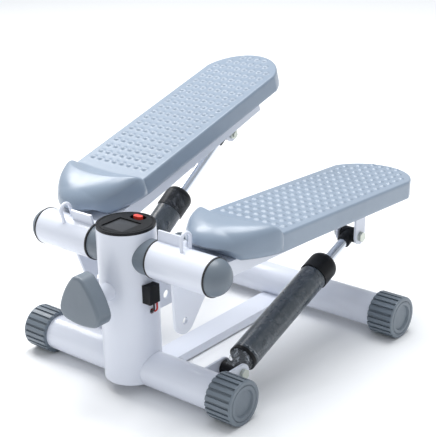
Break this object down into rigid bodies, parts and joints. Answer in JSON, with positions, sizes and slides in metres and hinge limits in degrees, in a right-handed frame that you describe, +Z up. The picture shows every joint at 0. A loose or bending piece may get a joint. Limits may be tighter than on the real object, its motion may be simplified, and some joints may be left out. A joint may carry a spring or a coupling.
{
  "type": "mini stepper",
  "caption": "Compact twin pedal stepper with damper legs, tube base, round console and hand knob",
  "frame": {"origin": "on the floor under the middle of the whole object", "axes": "X along the pivot axle towards the right pedal, Y from the console towards the heels, Z up"},
  "size_m": [0.397, 0.5004, 0.3229],
  "materials": {
    "white_paint": "smooth white powder coat",
    "grey_plastic": "satin moulded plastic",
    "pedal_plastic": "light grey moulded plastic",
    "black_plastic": "matt black moulding",
    "damper_paint": "dark grey enamel",
    "zinc_steel": "zinc plated",
    "chrome_rod": "polished",
    "bush_nylon": "black nylon",
    "lens_plastic": "clear over a grey green display",
    "button_red": "red",
    "board_green": "circuit board",
    "lead_red": "red insulation",
    "lead_black": "black insulation"
  },
  "bodies": {
    "root": {"front_base_tube": "white_paint", "rear_base_tube": "white_paint", "spine_channel": "white_paint", "column": "white_paint", "front_right_cap": "grey_plastic", "front_left_cap": "grey_plastic", "rear_right_cap": "grey_plastic", "rear_left_cap": "grey_plastic", "pivot_axle": "zinc_steel", "spacer_collars": "grey_plastic", "axle_nuts": "zinc_steel", "damper_ears": "white_paint", "ear_bolts": "zinc_steel", "ear_nuts": "zinc_steel", "console_housing": "black_plastic", "console_lens": "lens_plastic", "console_board": "board_green", "sensor_housing": "black_plastic", "sensor_lead_red": "lead_red", "sensor_lead_black": "lead_black"},
    "button": {"mode_button": "button_red"},
    "knob": {"step_knob": "grey_plastic", "adjuster_rod": "zinc_steel"},
    "slider": {"guide_plate": "white_paint"},
    "right_pedal": {"right_pivot_tube": "white_paint", "right_pivot_bushes": "bush_nylon", "right_dome_cap": "grey_plastic", "right_arm_channel": "white_paint", "right_toe_tab": "white_paint", "right_lever_plate": "white_paint", "right_strap_loop": "white_paint", "right_rear_clevis": "white_paint", "right_foot_plate": "pedal_plastic", "right_plate_screws": "zinc_steel", "right_clevis_bolt": "zinc_steel", "right_clevis_nut": "zinc_steel"},
    "right_cylinder": {"right_damper_eye": "black_plastic", "right_damper_tube": "damper_paint", "right_damper_head": "black_plastic"},
    "right_rod": {"right_damper_rod": "chrome_rod", "right_damper_piston": "black_plastic", "right_rod_end": "black_plastic"},
    "left_pedal": {"left_pivot_tube": "white_paint", "left_pivot_bushes": "bush_nylon", "left_dome_cap": "grey_plastic", "left_arm_channel": "white_paint", "left_toe_tab": "white_paint", "left_lever_plate": "white_paint", "left_strap_loop": "white_paint", "left_rear_clevis": "white_paint", "left_foot_plate": "pedal_plastic", "left_plate_screws": "zinc_steel", "left_clevis_bolt": "zinc_steel", "left_clevis_nut": "zinc_steel"},
    "left_cylinder": {"left_damper_eye": "black_plastic", "left_damper_tube": "damper_paint", "left_damper_head": "black_plastic"},
    "left_rod": {"left_damper_rod": "chrome_rod", "left_damper_piston": "black_plastic", "left_rod_end": "black_plastic"}
  },
  "joints": [
    {"name": "right_pedal", "type": "hinge", "parent": "root", "child": "right_pedal", "pos_m": [0, -0.16515, 0.1765], "axis": [1, 0, 0], "range_deg": [-2, 21]},
    {"name": "left_pedal", "type": "hinge", "parent": "root", "child": "left_pedal", "pos_m": [0, -0.16515, 0.1765], "axis": [1, 0, 0], "range_deg": [-21, 2]},
    {"name": "right_damper_swing", "type": "hinge", "parent": "root", "child": "right_cylinder", "pos_m": [0.117, -0.11615, 0.033], "axis": [1, 0, 0], "range_deg": [-2.16, 19.84]},
    {"name": "right_rod_slide", "type": "slide", "parent": "right_cylinder", "child": "right_rod", "axis": [-0.0306, 0.9468, 0.3203], "range_m": [-0.00572, 0.05531]},
    {"name": "left_damper_swing", "type": "hinge", "parent": "root", "child": "left_cylinder", "pos_m": [-0.117, -0.11615, 0.033], "axis": [1, 0, 0], "range_deg": [-19.6, 2.14]},
    {"name": "left_rod_slide", "type": "slide", "parent": "left_cylinder", "child": "left_rod", "axis": [0.026, 0.806, 0.5914], "range_m": [-0.05509, 0.0057]},
    {"name": "step_knob", "type": "hinge", "parent": "root", "child": "knob", "pos_m": [0, -0.22915, 0.136], "axis": [0, 1, 0], "range_deg": [-900, 900]},
    {"name": "guide_travel", "type": "slide", "parent": "root", "child": "slider", "axis": [0, 1, 0], "range_m": [-0.0052, 0.0052]},
    {"name": "mode_button", "type": "slide", "parent": "root", "child": "button", "axis": [0, 0, -1], "range_m": [0, 0.001], "stiffness_N_per_m": 180}
  ],
  "couplings": [
    {"joint": "left_pedal", "follows": "right_pedal", "ratio": -1},
    {"joint": "right_damper_swing", "follows": "right_pedal", "ratio": 0.93068},
    {"joint": "right_rod_slide", "follows": "right_pedal", "m_per_rad": 0.14954},
    {"joint": "left_damper_swing", "follows": "right_pedal", "ratio": -0.91884},
    {"joint": "left_rod_slide", "follows": "right_pedal", "m_per_rad": -0.14894},
    {"joint": "guide_travel", "follows": "step_knob", "m_per_rad": 0.0003183}
  ]
}
